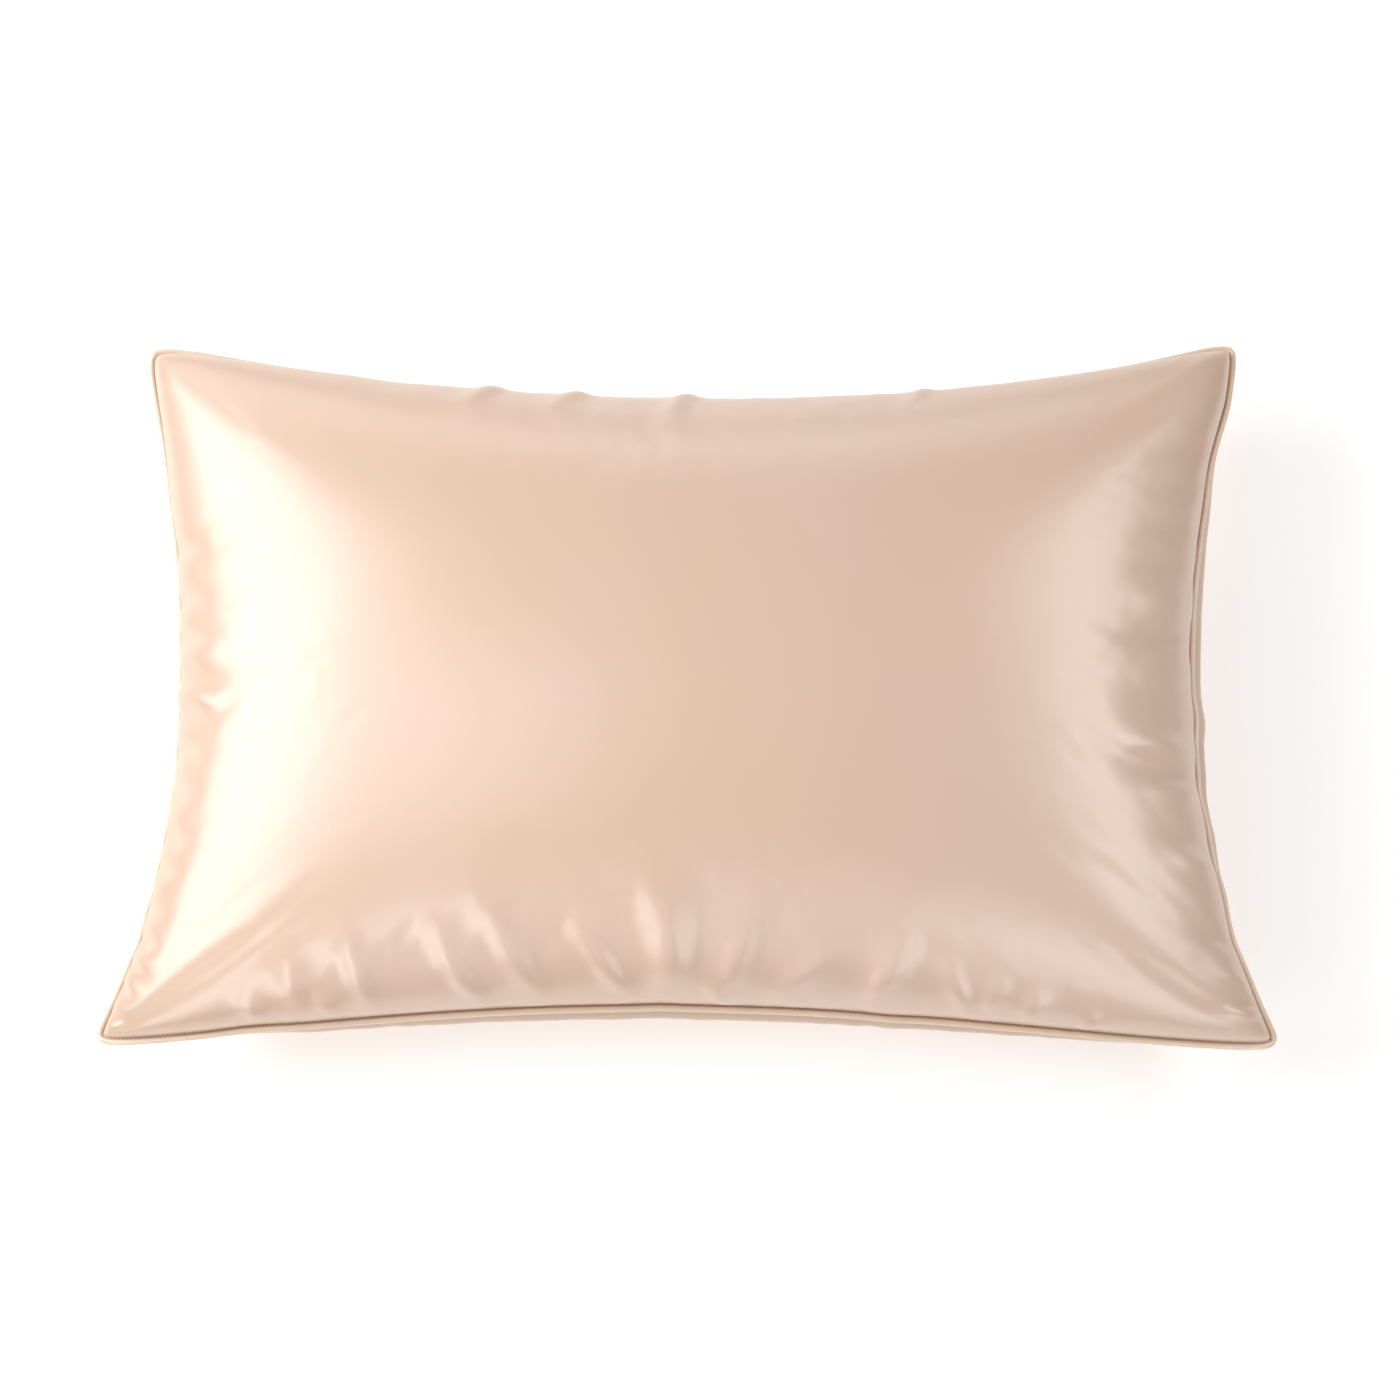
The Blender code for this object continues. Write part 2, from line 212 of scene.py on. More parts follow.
class CaseSettings(bpy.types.PropertyGroup):
    """Sizes and finish of the filled case"""

    width: metres("Width", "Along the long side, before the corners' flares", 0.716)
    height: metres("Height", "Along the short side, before the corners' flares", 0.462)
    front_crown: metres("Front crown", "Front panel above the seam", 0.088)
    rear_crown: metres("Rear crown", "Rear panel below the seam, unflattened", 0.095)
    rest_depth: metres("Rest depth", "Flat spot below the seam", 0.076)
    satin: tint("Satin", "Colour of the satin", (0.775, 0.550, 0.415))
    blush: tint("Blush", "Pinker tone in the satin", (0.780, 0.562, 0.440))
    # Painted shade: this colour stands for the shade down in the seam's groove, beside the seam and behind
    # the piping.
    seam: tint("Seam", "Colour down in the seam", (0.50, 0.31, 0.18))
    roughness: FloatProperty(
        name="Roughness", description="How broad the satin's highlight is", default=0.30, min=0.0, max=1.0
    )
    pressure: FloatProperty(
        name="Pressure", description="Of the filling, while the cloth settles", default=30.0, min=0.0
    )
    bending: FloatProperty(
        name="Bending", description="Stiffness of the folds, while the cloth settles", default=0.6, min=0.0
    )


class PipingSettings(bpy.types.PropertyGroup):
    """Sizes and finish of the piping and the seam's stitches"""

    diameter: metres("Diameter", "Across the piping", 0.0042)
    gap: metres("Gap", "Between the piping and the seam", 0.0005)
    step: metres("Step", "Between two rings of the piping", 0.0016)
    sides: IntProperty(name="Sides", description="Sides of the piping's ring", default=16, min=6)
    unevenness: metres("Unevenness", "Of the strip that is wrapped round the cord", 0.00020)
    # Painted light: the piping's colour is paler than the panels' satin, to make up for the shade that the
    # panels cast on it.
    colour: tint("Colour", "Colour of the piping's satin", (0.86, 0.66, 0.51))
    stitch_pitch: metres("Stitch pitch", "From one stitch to the next", 0.0026)
    stitch_length: metres("Stitch length", "Length of a stitch", 0.0021)
    thread: metres("Thread", "Thickness of the thread", 0.00045)
    stitch_rise: metres("Stitch rise", "Stitches above and below the seam", 0.0010)
    thread_colour: tint("Thread colour", "Colour of the thread", (0.62, 0.43, 0.28))


class StageSettings(bpy.types.PropertyGroup):
    """The floor and the camera"""

    floor_colour: tint("Floor", "Colour of the floor", (0.93, 0.93, 0.93))
    distance: metres("Distance", "From the camera to the point that it looks at", 1.70)
    elevation: degrees("Elevation", "Camera above the horizon", 76.75)
    azimuth: degrees("Azimuth", "Camera round the case, from straight below the foot", -1.73)
    roll: degrees("Roll", "Camera about its own axis", 0.62)
    lens: FloatProperty(
        name="Lens", description="Focal length in millimetres", default=68.5, unit="CAMERA"
    )


# -------- the panels' form


def smooth(share):
    """Soft step from 0 to 1 as share goes from 0 to 1."""
    held = np.clip(share, 0.0, 1.0)
    return held * held * (3.0 - 2.0 * held)


def flattened(height):
    """Heights over the floor, with what would lie under it pressed flat and a rounded change."""
    free = np.clip(0.5 + 0.5 * height / FLAT_BLEND, 0.0, 1.0)
    return height * free + FLAT_BLEND * free * (1.0 - free)


def side_form(side, position):
    """Share of a side's draw-in at a position from -1 to 1 along it: 0 at the corners."""
    shifted = position - side.skew * (1.0 - position**2)
    return np.clip(1.0 - shifted**2, 0.0, 1.0) ** side.fullness


def kinked(name, along):
    """How far the seam's small kinks push a side outwards, at metres along it."""
    out = np.zeros_like(along)
    for kink in KINKS:
        if kink.side == name:
            out += kink.out * np.exp(-(((along - kink.along) / kink.reach) ** 2))
    return out


def swell(angle_off_seam):
    """Bump from 0 at the seam to 1 at SWELL_ANGLE, starting without a slope, beside the piping."""
    share = angle_off_seam / SWELL_ANGLE
    return share**2 * np.exp(2.0 - 2.0 * share)


def plain_panel(case, across, up, front):
    """Points of a panel without folds, from its two angles. front is 1, or -1 for the rear."""
    u, v = np.sin(across), np.sin(up)
    cu, cv = np.clip(np.cos(across), 0.0, 1.0), np.clip(np.cos(up), 0.0, 1.0)
    right, left = (1.0 + u) / 2.0, (1.0 - u) / 2.0
    head, foot = (1.0 + v) / 2.0, (1.0 - v) / 2.0

    x, y = u * case.width / 2.0, v * case.height / 2.0
    along_x, along_y = x, y
    for corner in CORNERS:
        near_x, near_y = (1.0 + corner.right * u) / 2.0, (1.0 + corner.head * v) / 2.0
        flare = (near_x * near_y) ** FLARE_REACH
        cut = near_x ** (case.width / (2 * corner.cut)) * near_y ** (case.height / (2 * corner.cut))
        cut = cut * corner.cut
        x = x + corner.right * (flare * corner.flare_x - cut)
        y = y + corner.head * (flare * corner.flare_y - cut)
    lift = 0.0
    for name, axis, sign, share, own, other_cos, position, along in (
        ("right", 0, 1, right, across, cv, v, along_y),
        ("left", 0, -1, left, -across, cv, v, along_y),
        ("head", 1, 1, head, up, cu, u, along_x),
        ("foot", 1, -1, foot, -up, cu, u, along_x),
    ):
        side = SIDES[name]
        push = side.front if front > 0 else side.rear
        move = push * swell(QUARTER - own) * other_cos**CORNER_FADE
        move = move - side.draw_in * side_form(side, position) * share
        move = move + kinked(name, along) * share**KINK_REACH
        if axis == 0:
            x = x + sign * move
        else:
            y = y + sign * move
        lift = lift + side.lift * share**2 * other_cos

    seam_height = case.rest_depth + lift - CORNER_DROOP * (u * v) ** 2
    fullness = (cu * cv) ** (CROWN_POWER - CORNER_FULLNESS * (u * v) ** 2)
    z = seam_height + (case.front_crown if front > 0 else -case.rear_crown) * fullness
    return np.stack([x, y, z], axis=-1)


def panel_normals(case, across, up, front):
    """Unit normals of the plain panel, from small steps of its two angles."""
    inner, step = QUARTER - 2 * NORMAL_STEP, NORMAL_STEP
    a, b = np.clip(across, -inner, inner), np.clip(up, -inner, inner)
    along_x = plain_panel(case, a + step, b, front) - plain_panel(case, a - step, b, front)
    along_y = plain_panel(case, a, b + step, front) - plain_panel(case, a, b - step, front)
    normals = np.cross(along_x, along_y) * front
    return normals / np.linalg.norm(normals, axis=-1, keepdims=True)


def seam_distance(case, angle_off_seam, half_size):
    """Straight distance from the seam to a point of the panel that many radians off it."""
    rise = case.front_crown * np.sin(angle_off_seam)
    run = half_size * (1.0 - np.cos(angle_off_seam))
    return np.hypot(rise, run)


def side_frames(case, across, up):
    """For each side, metres along it and metres in from its seam."""
    x, y = np.sin(across) * case.width / 2.0, np.sin(up) * case.height / 2.0
    return {
        "right": (y, seam_distance(case, QUARTER - across, case.width / 2)),
        "left": (y, seam_distance(case, QUARTER + across, case.width / 2)),
        "head": (x, seam_distance(case, QUARTER - up, case.height / 2)),
        "foot": (x, seam_distance(case, QUARTER + up, case.height / 2)),
    }


def fold_relief(case, across, up):
    """How far the folds raise the front panel."""
    frames = side_frames(case, across, up)
    relief = np.zeros_like(across)
    for side, folds in FRONT_FOLDS.items():
        along, depth = frames[side]
        for fold in folds:
            run_along, run_in = fold.inner_along - fold.outer_along, fold.inner_depth - fold.outer_depth
            length = math.hypot(run_along, run_in)
            way_along, way_in = run_along / length, run_in / length
            out_along, out_in = along - fold.outer_along, depth - fold.outer_depth
            share = np.clip((out_along * way_along + out_in * way_in) / length, 0.0, 1.0)
            off = out_in * way_along - out_along * way_in - fold.bow * 4.0 * share * (1.0 - share)
            width = fold.width * (1.0 + FOLD_SPREAD * share)
            lengthways = smooth(share / FOLD_PEAK) * smooth((1.0 - share) / (1.0 - FOLD_PEAK))
            relief += fold.height * lengthways * np.exp(-((off / width) ** 2))
    return relief


def length_along(points):
    """Length of a line up to each of its points."""
    return np.concatenate([[0.0], np.cumsum(np.linalg.norm(np.diff(points, axis=0), axis=1))])


def spaced_angles(crown, half, cells, gather):
    """Angles of a panel's grid lines, and where each crosses the cloth of its middle section."""
    fine = np.linspace(-QUARTER, QUARTER, SECTION_SAMPLES)
    section = np.stack([np.sin(fine) * half, crown * np.clip(np.cos(fine), 0, 1) ** CROWN_POWER], axis=-1)
    length = length_along(section)
    even = np.linspace(-1.0, 1.0, cells + 1)
    cloth = (even + gather / math.pi * np.sin(math.pi * even)) * length[-1] / 2
    angles = np.interp(cloth + length[-1] / 2, length, fine)
    angles[0], angles[-1] = -QUARTER, QUARTER
    return angles, cloth


def panel_grid(case, cells_x, cells_y, gather):
    """A panel's two angles and its two cloth coordinates, at each point of a grid."""
    angles_x, cloth_x = spaced_angles(case.front_crown, case.width / 2, cells_x, gather)
    angles_y, cloth_y = spaced_angles(case.front_crown, case.height / 2, cells_y, gather)
    return (
        *np.meshgrid(angles_x, angles_y, indexing="ij"),
        *np.meshgrid(cloth_x, cloth_y, indexing="ij"),
    )


def sewn(front, rear):
    """Points of both panels' grids with the seam's points shared, and each grid's numbers in them."""
    front_index = np.arange(front.shape[0] * front.shape[1]).reshape(front.shape[:2])
    inside = np.zeros(front.shape[:2], bool)
    inside[1:-1, 1:-1] = True
    rear_index = front_index.copy()
    rear_index[inside] = front_index.size + np.arange(inside.sum())
    points = np.concatenate([front.reshape(-1, *front.shape[2:]), rear[inside]])
    return points, front_index, rear_index


def cells(index, front):
    """Four-sided faces of a panel's grid, facing out of the case."""
    a, b, c, d = index[:-1, :-1], index[1:, :-1], index[1:, 1:], index[:-1, 1:]
    corners = (a, b, c, d) if front > 0 else (a, d, c, b)
    return np.stack(corners, axis=-1).reshape(-1, 4).tolist()


def off_corner(case, across, up):
    """Metres from the nearest corner, as if the panel were flat and straight-sided."""
    to_side = (1.0 - np.abs(np.sin(across))) * case.width / 2.0
    to_end = (1.0 - np.abs(np.sin(up))) * case.height / 2.0
    return np.hypot(to_side, to_end)


def off_seam(case, across, up):
    """Metres in from the nearest side's seam."""
    return np.minimum.reduce([depth for _, depth in side_frames(case, across, up).values()])


# -------- settling the cloth

SETTLE_X, SETTLE_Y = 120, 80  # cells of a panel along and across, in the simulation
SETTLE_FRAMES = 20  # frames that it runs
REST_HEIGHT = 0.0008  # what starts lower than this stays where it rests
SWELLING_CELLS = 7.0  # breadth, in its cells, over which its swelling is taken out
PUCKER_CAP = 0.007  # how far a pucker may move the cloth
PUCKER_FADE = 0.010  # metres in from the seam over which the puckers come in
CORNER_CALM = 0.85  # how much weaker the puckers are at the front's corners, which are puffed up
CORNER_REACH = 0.13  # metres from a corner to which that reaches
JOIN_DISTANCE = 1e-6  # far less than any cell

# Cloth to spare along each side of the front and the rear panel, as a share of its length, and
# how far in from the seam it reaches.
Spare = namedtuple("Spare", "front rear reach")
SPARE = {
    "right": Spare(0.012, 0.045, 0.042),
    "left": Spare(0.020, 0.045, 0.030),
    "head": Spare(0.010, 0.040, 0.045),
    "foot": Spare(0.008, 0.040, 0.045),
}

# The cloth in the simulation: light and well damped, so that it settles in few frames.
SETTLING_CLOTH = {
    "mass": 0.005,
    "tension_stiffness": 40.0,
    "compression_stiffness": 40.0,
    "shear_stiffness": 15.0,
    "tension_damping": 15.0,
    "compression_damping": 15.0,
    "shear_damping": 10.0,
    "bending_damping": 2.0,
    "air_damping": 3.0,
    "quality": 6,
}


def loosened(case, points, across, up, front):
    """Points of a panel drawn apart along each seam, by the share of spare cloth gathered there."""
    frames = side_frames(case, across, up)
    loose = points.copy()
    for name, axis, angle in (("foot", 0, across), ("head", 0, across), ("left", 1, up), ("right", 1, up)):
        spare = SPARE[name]
        share = (spare.front if front > 0 else spare.rear) * np.exp(-((frames[name][1] / spare.reach) ** 2))
        loose[..., axis] += points[..., axis] * share * np.clip(np.cos(angle), 0, 1)
    return loose


def settling_object(case, start, rest, faces, held_points):
    """The coarse cloth as it is sewn, with the shape it was cut in, held at some of its points."""
    mesh = bpy.data.meshes.new("settling_cloth")
    mesh.from_pydata(start.tolist(), [], faces)
    cloth = added("settling_cloth", mesh)
    cloth.shape_key_add(name="sewn")
    cut = cloth.shape_key_add(name="cut")
    cut.data.foreach_set("co", rest.astype(np.float32).ravel())
    cloth.vertex_groups.new(name="held").add(held_points, 1.0, "REPLACE")
    # The cut shape is only read below a modifier that may change the mesh. This one finds
    # nothing to join.
    cloth.modifiers.new("joined", "WELD").merge_threshold = JOIN_DISTANCE
    modifier = cloth.modifiers.new("cloth", "CLOTH")
    satin = modifier.settings
    for name, value in SETTLING_CLOTH.items():
        setattr(satin, name, value)
    satin.bending_stiffness = case.bending
    satin.rest_shape_key = cut
    satin.vertex_group_mass = "held"
    satin.use_pressure = True
    satin.uniform_pressure_force = case.pressure
    satin.effector_weights.gravity = 0.0
    modifier.collision_settings.use_collision = False
    modifier.point_cache.frame_start = 1
    modifier.point_cache.frame_end = SETTLE_FRAMES
    return cloth


def pucker(case):
    """How far the cloth's settling moves each panel of the coarse grid: puckers along the seam."""
    across, up, _, _ = panel_grid(case, SETTLE_X, SETTLE_Y, 0.0)
    front, rear = front_points(case, across, up), rear_points(case, across, up)
    start, front_index, rear_index = sewn(front, rear)
    rest = sewn(loosened(case, front, across, up, 1), loosened(case, rear, across, up, -1))[0]
    faces = cells(front_index, 1) + cells(rear_index, -1)
    seam = [front_index[0], front_index[-1], front_index[:, 0], front_index[:, -1]]
    resting = np.flatnonzero(start[:, 2] < REST_HEIGHT)
    held_points = [int(number) for number in np.union1d(np.concatenate(seam), resting)]

    cloth = settling_object(case, start, rest, faces, held_points)
    for number in range(1, SETTLE_FRAMES + 1):
        bpy.context.scene.frame_set(number)
    result = cloth.evaluated_get(bpy.context.evaluated_depsgraph_get()).to_mesh()
    moved = np.empty(len(start) * 3, np.float32)
    result.vertices.foreach_get("co", moved)
    moved = moved.reshape(-1, 3) - start
    bpy.data.objects.remove(cloth)
    bpy.context.scene.frame_set(1)
    return [only_puckers(case, moved[index], across, up) for index in (front_index, rear_index)]


def soft_rows(count, spread):
    """Rows of weights that average over neighbours on a grid line, by a bell curve."""
    number = np.arange(count)
    weights = np.exp(-(((number[:, None] - number[None]) / spread) ** 2))
    return weights / weights.sum(axis=1, keepdims=True)


def spline_rows(cloth, source_count):
    """Rows of weights that read cloth places off source_count even points by a cubic spline."""
    place = (cloth - cloth[0]) / (cloth[-1] - cloth[0]) * (source_count - 1)
    near = np.minimum(place.astype(int), source_count - 2)
    t = place - near
    rows = np.zeros((len(cloth), source_count))
    parts = ((1 - t) ** 3, 3 * t**3 - 6 * t**2 + 4, -3 * t**3 + 3 * t**2 + 3 * t + 1, t**3)
    for offset, part in zip((-1, 0, 1, 2), parts):
        rows[np.arange(len(cloth)), np.clip(near + offset, 0, source_count - 1)] += part / 6
    return rows


def only_puckers(case, moved, across, up):
    """What a panel moved by, without what changes slowly along the nearest seam: its swelling."""
    frames = side_frames(case, across, up)
    to_sides = np.minimum(frames["right"][1], frames["left"][1])[..., None]
    to_ends = np.minimum(frames["head"][1], frames["foot"][1])[..., None]
    along_ends = np.einsum("ai,ijk->ajk", soft_rows(moved.shape[0], SWELLING_CELLS), moved)
    along_sides = np.einsum("bj,ijk->ibk", soft_rows(moved.shape[1], SWELLING_CELLS), moved)
    share = to_sides / (to_sides + to_ends + 1e-6)
    return moved - along_ends * share - along_sides * (1.0 - share)


def settled_by(puckers, cloth_x, cloth_y, fade):
    """A coarse panel's puckers on the fine grid, capped, and none at the seam."""
    x, y = spline_rows(cloth_x, puckers.shape[0]), spline_rows(cloth_y, puckers.shape[1])
    fine = np.einsum("ai,ijk,bj->abk", x, puckers, y)
    size = np.linalg.norm(fine, axis=-1, keepdims=True)
    return fine * fade[..., None] * PUCKER_CAP / np.hypot(PUCKER_CAP, size)


def front_points(case, across, up, settled=0.0):
    """Points of the front panel: its form, the folds placed on it and what the cloth settled by."""
    relief = fold_relief(case, across, up)
    placed = panel_normals(case, across, up, 1) * relief[..., None]
    return plain_panel(case, across, up, 1) + placed + settled


def rear_points(case, across, up, settled=0.0):
    """Points of the rear panel: its form and what the cloth settled by, flat where it rests."""
    points = plain_panel(case, across, up, -1) + settled
    points[..., 2] = flattened(points[..., 2])
    return points


# -------- the seam's lines

STITCH_CLEARANCE = 0.00015  # between a stitch and the panel beside it


def seam_middle(case, piping):
    """Middle of the piping's outline, which the solids have at their origin."""
    line = piping_line(case, piping)
    return (line.min(axis=0) + line.max(axis=0)) / 2 * (1, 1, 0)


def seam_line(case):
    """Points of the seam, counter-clockwise from the foot's left corner, finest at the corners."""
    ramp = np.linspace(-QUARTER, QUARTER, SEAM_SAMPLES + 1)[:-1]
    side = np.full_like(ramp, QUARTER)
    across = np.concatenate([ramp, side, -ramp, -side])
    up = np.concatenate([-side, ramp, side, -ramp])
    return plain_panel(case, across, up, 1)


def outward_of(line):
    """Level unit vectors out of a closed line that runs counter-clockwise."""
    tangent = np.roll(line, -1, axis=0) - np.roll(line, 1, axis=0)
    outward = np.stack([tangent[:, 1], -tangent[:, 0], np.zeros(len(line))], axis=-1)
    return outward / np.linalg.norm(outward, axis=1, keepdims=True)


def piping_line(case, piping):
    """Middle line of the piping, just outside the seam."""
    line = seam_line(case)
    return line + outward_of(line) * (piping.diameter / 2 + piping.gap)


def stitch_lines(case, piping):
    """Lines of the stitches down in the groove beside the piping: the front's and the rear's."""
    line = seam_line(case)
    beside = line + outward_of(line) * (piping.thread / 2 + STITCH_CLEARANCE)
    rise = np.array([0.0, 0.0, piping.stitch_rise])
    return beside + rise, beside - rise


def even_line(line, step):
    """Points evenly spaced along a closed line."""
    closed = np.concatenate([line, line[:1]])
    length = length_along(closed)
    even = np.linspace(0.0, length[-1], round(length[-1] / step) + 1)[:-1]
    return np.stack([np.interp(even, length, closed[:, axis]) for axis in range(3)], axis=-1)


# -------- node trees


class Value:
    """A node's socket that takes part in Python expressions."""

    def __init__(self, graph, socket):
        self.graph = graph
        self.socket = socket

    def other(self, output):
        """Another output of the same node."""
        return Value(self.graph, self.socket.node.outputs[output])

    def maths(self, operation, *values):
        return self.graph.node("ShaderNodeMath", {"operation": operation}, dict(enumerate(values)))

    def __add__(self, other):
        return self.maths("ADD", self, other)

    def __radd__(self, other):
        return self.maths("ADD", other, self)

    def __sub__(self, other):
        return self.maths("SUBTRACT", self, other)

    def __rsub__(self, other):
        return self.maths("SUBTRACT", other, self)

    def __mul__(self, other):
        return self.maths("MULTIPLY", self, other)

    def __rmul__(self, other):
        return self.maths("MULTIPLY", other, self)

    def __truediv__(self, other):
        return self.maths("DIVIDE", self, other)

    def __rtruediv__(self, other):
        return self.maths("DIVIDE", other, self)


class Graph:
    """A node tree."""

    def __init__(self, tree):
        self.tree = tree

    def fill(self, socket, value):
        """Sets a socket to a plain value, or links one to it."""
        if isinstance(value, Value):
            self.tree.links.new(value.socket, socket)
        else:
            socket.default_value = value

    def node(self, kind, settings=None, inputs=None, output=0):
        """A node of a type, with its settings and the values or links of its sockets."""
        made = self.tree.nodes.new(kind)
        for name, value in (settings or {}).items():
            setattr(made, name, value)
        for name, value in (inputs or {}).items():
            self.fill(made.inputs[name], value)
        return Value(self, made.outputs[output])


class Finish(Graph):
    """The node tree of a material."""

    def __init__(self, name):
        self.material = bpy.data.materials.new(name)
        self.material.use_nodes = True
        super().__init__(self.material.node_tree)
        self.shader = self.tree.nodes["Principled BSDF"]

    def blend(self, factor, first, second):
        """Colour between first and second."""
        settings = {"data_type": "RGBA"}
        return self.node("ShaderNodeMix", settings, {0: factor, 6: first, 7: second}, output=2)

    def step(self, value, low, high, to_low=0.0, to_high=1.0):
        """Soft step of value between low and high."""
        settings = {"interpolation_type": "SMOOTHSTEP"}
        limits = {0: value, 1: low, 2: high, 3: to_low, 4: to_high}
        return self.node("ShaderNodeMapRange", settings, limits)

    def noise(self, place, scale, detail):
        """Noise from 0 to 1, with scale repeats for each metre of the place."""
        return self.node("ShaderNodeTexNoise", {}, {"Vector": place, "Scale": scale, "Detail": detail})

    def threads(self, cloth, along, across, detail):
        """Noise drawn out along the cloth's threads, with its repeats for each metre both ways."""
        settings = {"Vector": cloth, "Scale": (along, across, 1.0)}
        return self.noise(self.node("ShaderNodeMapping", {}, settings), 1.0, detail)

    def relief(self, height, strength, depth):
        """Normal of a relief that is at most depth metres high."""
        sizes = {"Strength": strength, "Distance": depth, "Height": height}
        return self.node("ShaderNodeBump", {}, sizes)

    def principled(self, **sockets):
        """Sets or links sockets of the shader, named in words joined by underscores."""
        for name, value in sockets.items():
            self.fill(self.shader.inputs[name.replace("_", " ")], value)


class Making(Graph):
    """The geometry node tree that makes a piece along a line, with named inputs for its sizes."""

    def __init__(self, name):
        super().__init__(bpy.data.node_groups.new(name, "GeometryNodeTree"))
        self.name = name
        self.sizes = {}
        for way in ("INPUT", "OUTPUT"):
            self.tree.interface.new_socket("Geometry", in_out=way, socket_type="NodeSocketGeometry")
        self.entry = self.tree.nodes.new("NodeGroupInput")
        self.exit = self.tree.nodes.new("NodeGroupOutput")
        self.line = Value(self, self.entry.outputs["Geometry"])

    def size(self, name, value, kind="Float"):
        """A named input of the tree and the value that the modifier gives it."""
        socket = self.tree.interface.new_socket(name, in_out="INPUT", socket_type="NodeSocket" + kind)
        self.sizes[socket.identifier] = value
        return Value(self, self.entry.outputs[name])

    def kept(self, line, name, value):
        """The line with a value captured on its points, and that value for later nodes."""
        node = self.tree.nodes.new("GeometryNodeCaptureAttribute")
        node.capture_items.new("FLOAT", name)
        self.fill(node.inputs[0], line)
        self.fill(node.inputs[1], value)
        return Value(self, node.outputs[0]), Value(self, node.outputs[1])

    def made(self, geometry, material, lines):
        """The plain mesh that the tree makes along closed lines, in its material."""
        smooth_faces = self.node("GeometryNodeSetShadeSmooth", {}, {"Geometry": geometry})
        plain = self.node("GeometryNodeRealizeInstances", {}, {"Geometry": smooth_faces})
        finished = self.size("Material", material, "Material")
        self.fill(
            self.exit.inputs["Geometry"],
            self.node("GeometryNodeSetMaterial", {}, {"Geometry": plain, "Material": finished}),
        )
        curve = bpy.data.curves.new(self.name + "_line", "CURVE")
        curve.dimensions = "3D"
        for line in lines:
            spline = curve.splines.new("POLY")
            spline.points.add(len(line) - 1)
            spline.points.foreach_set("co", np.column_stack([line, np.ones(len(line))]).ravel())
            spline.use_cyclic_u = True
        source = added(self.name + "_line", curve)
        modifier = source.modifiers.new("making", "NODES")
        modifier.node_group = self.tree
        for identifier, value in self.sizes.items():
            modifier[identifier] = value
        depsgraph = bpy.context.evaluated_depsgraph_get()
        mesh = bpy.data.meshes.new_from_object(source.evaluated_get(depsgraph))
        source.modifiers.remove(modifier)
        bpy.data.objects.remove(source)
        mesh.name = self.name
        mesh.materials.clear()
        mesh.materials.append(material)
        mesh.polygons.foreach_set("material_index", np.zeros(len(mesh.polygons), np.int32))
        return mesh


# -------- materials

SATIN_IOR = 1.92  # the mirror-like floats of satin shine more than plain fibres do
WEAVE_DEPTH = 0.0002
SLUB_SHARE = 0.3  # of the weave's relief, the rest being its floats of thread
GLOSS_CHANGE = 0.06  # of the roughness, from thread to thread
REAR_PAINTED_SHADE = 0.50  # painted shade: how far the rear panel just behind the piping takes the seam's darker colour
EDGE_PAINTED_SHADE = 0.22  # painted shade: the same, for the cloth beside the seam on both panels


def toned(colour, share=1.0):
    """A colour for a socket, each part a share of what it was."""
    return (*(min(1.0, part * share) for part in colour), 1.0)


def satin_material(case):
    """The panels' satin: a soft broad sheen, fine floats of thread, a slightly uneven tone and painted
    shade along the seam.
    """
    graph = Finish("champagne_satin")
    place = graph.node("ShaderNodeTexCoord", output="Object")
    cloth = graph.node("ShaderNodeUVMap", {"uv_map": "cloth"})
    seam = graph.node("ShaderNodeAttribute", {"attribute_name": "seam"}, output="Fac")
    rear = graph.node("ShaderNodeAttribute", {"attribute_name": "rear"}, output="Fac")

    blush = graph.step(graph.noise(place, scale=5.0, detail=2.0), low=0.35, high=0.65)
    colour = graph.blend(blush, toned(case.satin), toned(case.blush))
    # Painted shade: the groove along the seam takes the seam's darker colour, where shade falls.
    painted_groove_shade = graph.step(seam, low=0.0003, high=0.0022, to_low=1.0, to_high=0.0)
    colour = graph.blend(painted_groove_shade, colour, toned(case.seam))
    # Painted shade: the rear panel just behind the piping darkens towards the seam's colour.
    painted_shade_behind_piping = rear * graph.step(seam, low=0.004, high=0.020, to_low=REAR_PAINTED_SHADE, to_high=0.0)
    # Painted shade: the cloth beside the seam on both panels darkens towards the seam's colour.
    painted_shade_beside_seam = graph.step(seam, low=0.008, high=0.060, to_low=EDGE_PAINTED_SHADE, to_high=0.0)
    colour = graph.blend(painted_shade_behind_piping + painted_shade_beside_seam, colour, toned(case.seam))

    floats = graph.threads(cloth, along=700.0, across=5200.0, detail=2.0)
    slub = graph.threads(cloth, along=30.0, across=900.0, detail=1.0)
    height = floats * (1 - SLUB_SHARE) + slub * SLUB_SHARE
    graph.principled(
        Base_Color=colour,
        Roughness=case.roughness + (slub - 0.5) * GLOSS_CHANGE,
        IOR=SATIN_IOR,
        Normal=graph.relief(height, strength=0.10, depth=WEAVE_DEPTH),
    )
    return graph.material


def piping_material(piping):
    """The piping's satin: fine threads drawn out along it and a slightly uneven tone."""
    graph = Finish("bias_cut_satin")
    cloth = graph.node("ShaderNodeUVMap", {"uv_map": "wrap"})
    floats = graph.threads(cloth, along=900.0, across=5200.0, detail=2.0)
    tone = graph.noise(cloth, scale=60.0, detail=1.0)
    darker, paler = toned(piping.colour, 0.92), toned(piping.colour, 1.06)
    graph.principled(
        Base_Color=graph.blend(tone, darker, paler),
        Roughness=0.24 + (floats - 0.5) * GLOSS_CHANGE,
        IOR=SATIN_IOR,
        Normal=graph.relief(floats, strength=0.12, depth=WEAVE_DEPTH),
    )
    return graph.material


